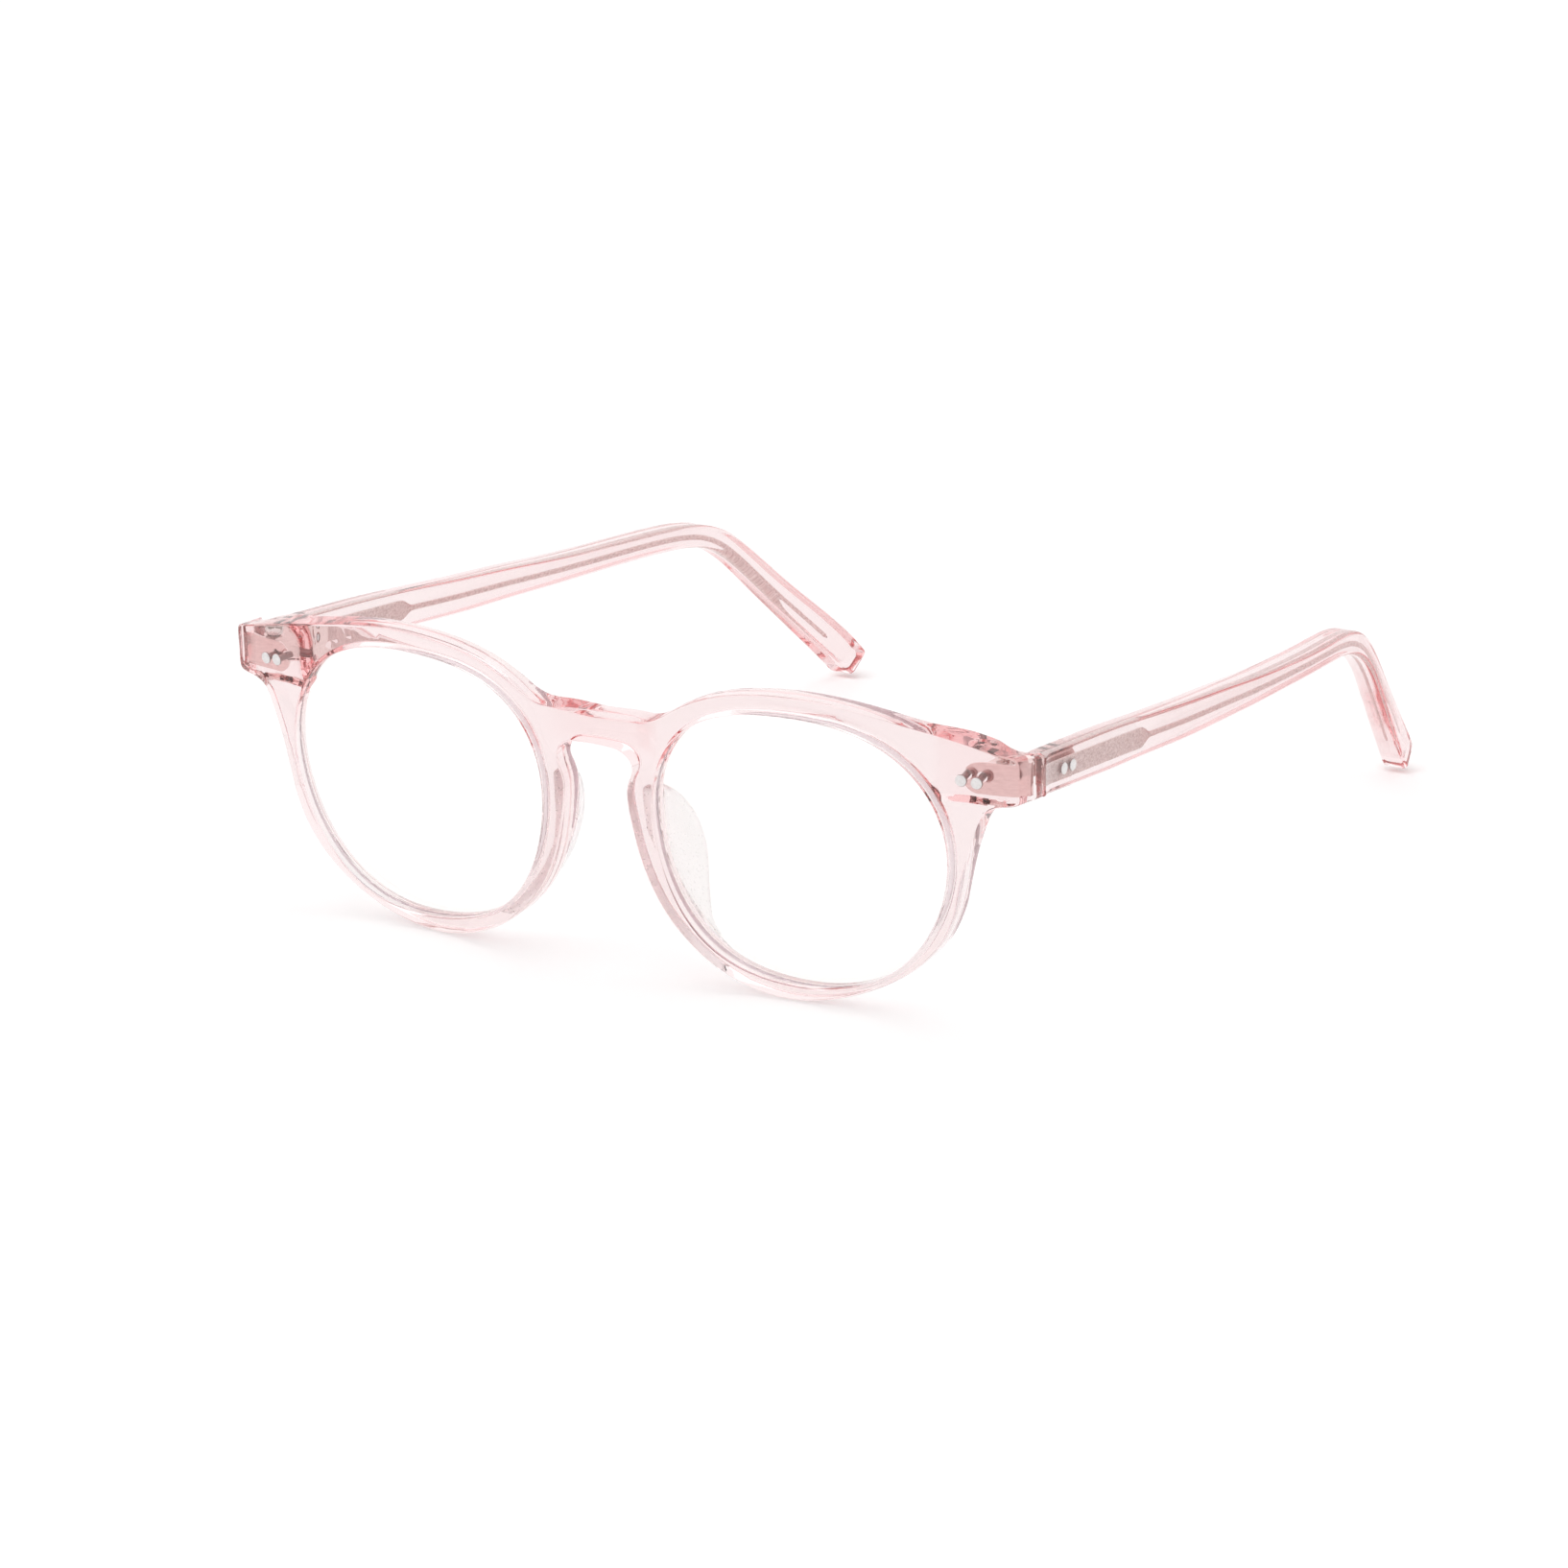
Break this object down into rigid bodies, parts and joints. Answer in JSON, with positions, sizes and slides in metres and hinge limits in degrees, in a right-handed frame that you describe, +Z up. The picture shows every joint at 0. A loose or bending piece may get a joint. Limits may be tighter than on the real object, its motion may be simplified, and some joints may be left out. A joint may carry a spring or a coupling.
{
  "type": "eyeglasses",
  "caption": "Clear pale pink acetate eyeglasses with round keyhole-bridge rims, clear filter lenses, nose pads and folding temples with a core wire.",
  "frame": {"origin": "centre of the overall footprint, on the surface that the rims and the temple tips stand on", "axes": "+Z up, +X toward the wearer's left, the front faces -Y and the open temples run back toward +Y"},
  "size_m": [0.1342, 0.1531, 0.0461],
  "materials": {
    "acetate": "polished clear pale pink acetate",
    "lens": "clear optical plastic, coated",
    "nose_pad": "frosted acetate",
    "hinge_metal": "satin nickel silver",
    "core_wire": "grained metal under pink acetate"
  },
  "bodies": {
    "front": {"front_frame": "acetate", "lens_left": "lens", "lens_right": "lens", "nose_pad_left": "nose_pad", "nose_pad_right": "nose_pad", "front_leaf_left": "hinge_metal", "front_leaf_right": "hinge_metal", "front_rivet_inner_left": "hinge_metal", "front_rivet_inner_right": "hinge_metal", "front_rivet_outer_left": "hinge_metal", "front_rivet_outer_right": "hinge_metal", "hinge_screw_left": "hinge_metal", "hinge_screw_right": "hinge_metal"},
    "temple_body_left": {"temple_left": "acetate", "core_wire_left": "core_wire", "temple_leaf_left": "hinge_metal", "temple_rivet_front_left": "hinge_metal", "temple_rivet_rear_left": "hinge_metal"},
    "temple_body_right": {"temple_right": "acetate", "core_wire_right": "core_wire", "temple_leaf_right": "hinge_metal", "temple_rivet_front_right": "hinge_metal", "temple_rivet_rear_right": "hinge_metal"}
  },
  "joints": [
    {"name": "hinge_left", "type": "hinge", "parent": "front", "child": "temple_body_left", "pos_m": [0.0609, -0.06377, 0.0366], "axis": [0, 0, 1], "range_deg": [0, 86]},
    {"name": "hinge_right", "type": "hinge", "parent": "front", "child": "temple_body_right", "pos_m": [-0.0609, -0.06377, 0.0366], "axis": [0, 0, -1], "range_deg": [0, 76]}
  ]
}
